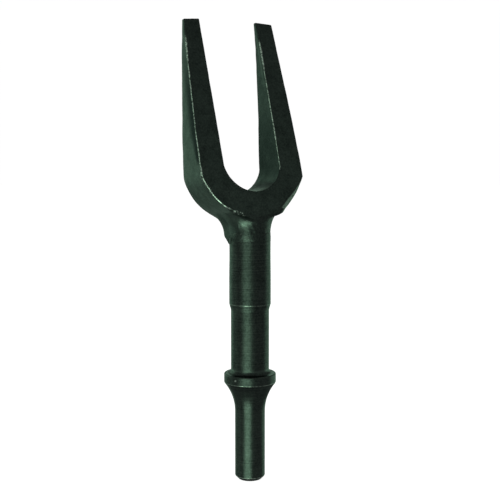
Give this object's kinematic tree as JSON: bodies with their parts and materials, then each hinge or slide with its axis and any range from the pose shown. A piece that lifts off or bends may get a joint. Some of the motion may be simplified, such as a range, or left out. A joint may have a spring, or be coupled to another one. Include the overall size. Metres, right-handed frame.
{
  "type": "ball joint separator",
  "caption": "Wedge fork on a round shank for an air hammer. The two tines straddle a ball joint stud and drive the joint apart.",
  "frame": {"origin": "centre of the shank's striking end", "axes": "+Z along the shank towards the fork's tips, +X across the two tines, -Y out of the fork's steep front face"},
  "size_m": [0.038, 0.0269, 0.1564],
  "materials": {
    "forged_steel": "forged, black oxide, satin, bright on worn edges",
    "turned_steel": "turned, black oxide, satin, faint turning rings",
    "weld_metal": "rough weld, black oxide, partly rubbed bright"
  },
  "bodies": {
    "root": {"fork_head": "forged_steel", "drive_shaft": "turned_steel", "front_weld_bead": "weld_metal", "rear_weld_bead": "weld_metal"}
  },
  "joints": []
}
